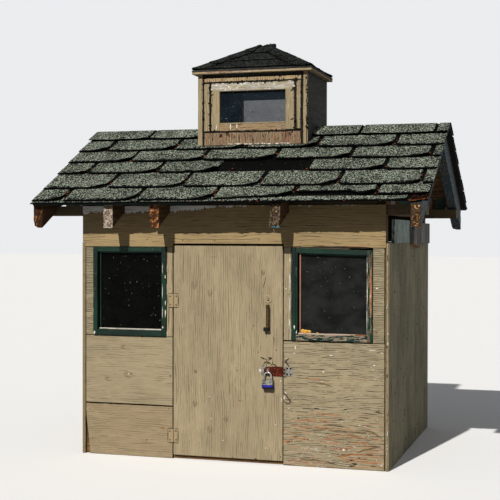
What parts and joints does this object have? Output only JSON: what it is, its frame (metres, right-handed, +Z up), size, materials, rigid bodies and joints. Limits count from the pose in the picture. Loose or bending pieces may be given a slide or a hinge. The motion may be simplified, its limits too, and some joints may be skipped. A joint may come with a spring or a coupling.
{
  "type": "ice fishing hut",
  "caption": "Small framed plywood ice fishing hut with shingled gable roof, glazed cupola, front windows and a hinged door with hasp and padlock.",
  "frame": {"origin": "middle of the footprint, on the ground", "axes": "+X along the front to the right, +Y from the front to the back, +Z up"},
  "size_m": [1.542, 1.2952, 1.6648],
  "materials": {
    "painted_sheet": "tan house paint on plywood, flaking",
    "painted_door": "tan house paint on plywood, upright grain",
    "frame_timber": "bare sawn softwood",
    "painted_plate": "tan paint on sawn timber",
    "rafter_timber": "bare weathered timber",
    "barge_paint": "weathered blue-green paint",
    "bare_sheet": "bare weathered plywood",
    "soffit_paint": "dark green paint",
    "shingle": "grey-green mineral granules on asphalt felt",
    "green_paint": "dark green gloss paint, chipped",
    "pane_glass": "dusty window glass",
    "pale_green_paint": "pale green paint, worn",
    "grey_timber": "grey weathered wood",
    "block_timber": "old painted offcuts",
    "cupola_paint": "tan paint worn to bare wood",
    "cupola_side_paint": "old tan paint on plywood",
    "dark_shingle": "charcoal mineral granules",
    "hinge_paint": "painted over steel",
    "zinc_steel": "zinc plated",
    "rusty_steel": "rust",
    "lock_steel": "laminated steel"
  },
  "bodies": {
    "root": {"front_top_panel": "painted_sheet", "front_stiles": "painted_sheet", "front_jambs": "painted_sheet", "front_left_mid_panel": "painted_sheet", "front_left_bottom_panel": "painted_sheet", "front_right_lower_panel": "painted_sheet", "side_wall_right": "painted_sheet", "side_wall_left": "painted_sheet", "back_wall": "painted_sheet", "back_top_panel": "painted_sheet", "cross_sills": "frame_timber", "side_sills": "frame_timber", "corner_posts": "frame_timber", "door_posts": "frame_timber", "window_rails": "frame_timber", "side_plates": "frame_timber", "ridge_boards": "frame_timber", "top_plates": "painted_plate", "rafters": "rafter_timber", "barge_rafters": "barge_paint", "gable_panels": "bare_sheet", "roof_deck_front": "soffit_paint", "roof_deck_back": "soffit_paint", "shingles_front": "shingle", "shingles_back": "shingle", "ridge_cap": "shingle", "window_frames": "green_paint", "window_panes": "pane_glass", "cupola_panes": "pane_glass", "vent_boards": "pale_green_paint", "vent_blocks": "grey_timber", "eave_blocks": "block_timber", "cupola_trim": "cupola_paint", "cupola_sashes": "cupola_paint", "cupola_eave_board": "cupola_paint", "cupola_side_walls": "cupola_side_paint", "cupola_front_wall": "cupola_side_paint", "cupola_back_wall": "cupola_side_paint", "cupola_roof_deck": "cupola_side_paint", "cupola_shingles": "dark_shingle", "cupola_hip_caps": "dark_shingle", "hinge_wall_leaves": "hinge_paint", "hasp_plate": "zinc_steel", "hasp_strap": "rusty_steel"},
    "door": {"door_panel": "painted_door", "hinge_door_leaves": "hinge_paint", "door_handle": "rusty_steel", "hasp_staple": "zinc_steel", "padlock_shackle": "lock_steel", "padlock_body": "lock_steel"}
  },
  "joints": [
    {"name": "door_swing", "type": "hinge", "parent": "root", "child": "door", "pos_m": [-0.22775, -0.5113, 0.3485], "axis": [0, 0, -1], "range_deg": [0, 165]}
  ]
}
